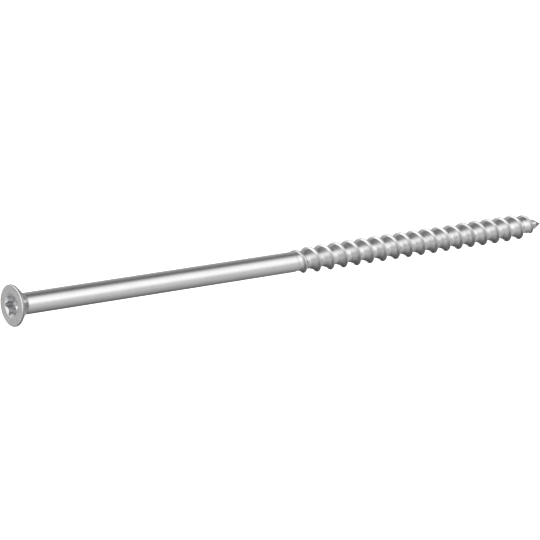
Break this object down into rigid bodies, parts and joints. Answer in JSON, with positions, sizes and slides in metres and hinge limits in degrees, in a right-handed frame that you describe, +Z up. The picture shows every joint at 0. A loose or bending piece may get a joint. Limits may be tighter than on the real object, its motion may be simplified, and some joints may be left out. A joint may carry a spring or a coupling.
{
  "type": "aerated concrete screw",
  "caption": "Long countersunk screw with a six-lobed drive recess, a plain shank and a coarse, deep right-hand thread for aerated concrete.",
  "frame": {"origin": "bottom centre of the bounding box, on the surface that the screw lies on", "axes": "+X along the screw from its head to its tip, tilted down by 0.59 degrees as it lies; +Z up; +Y across"},
  "size_m": [0.2, 0.0118, 0.0119],
  "materials": {
    "zinc_coating": "satin zinc coating on steel"
  },
  "bodies": {
    "root": {"screw": "zinc_coating"}
  },
  "joints": []
}
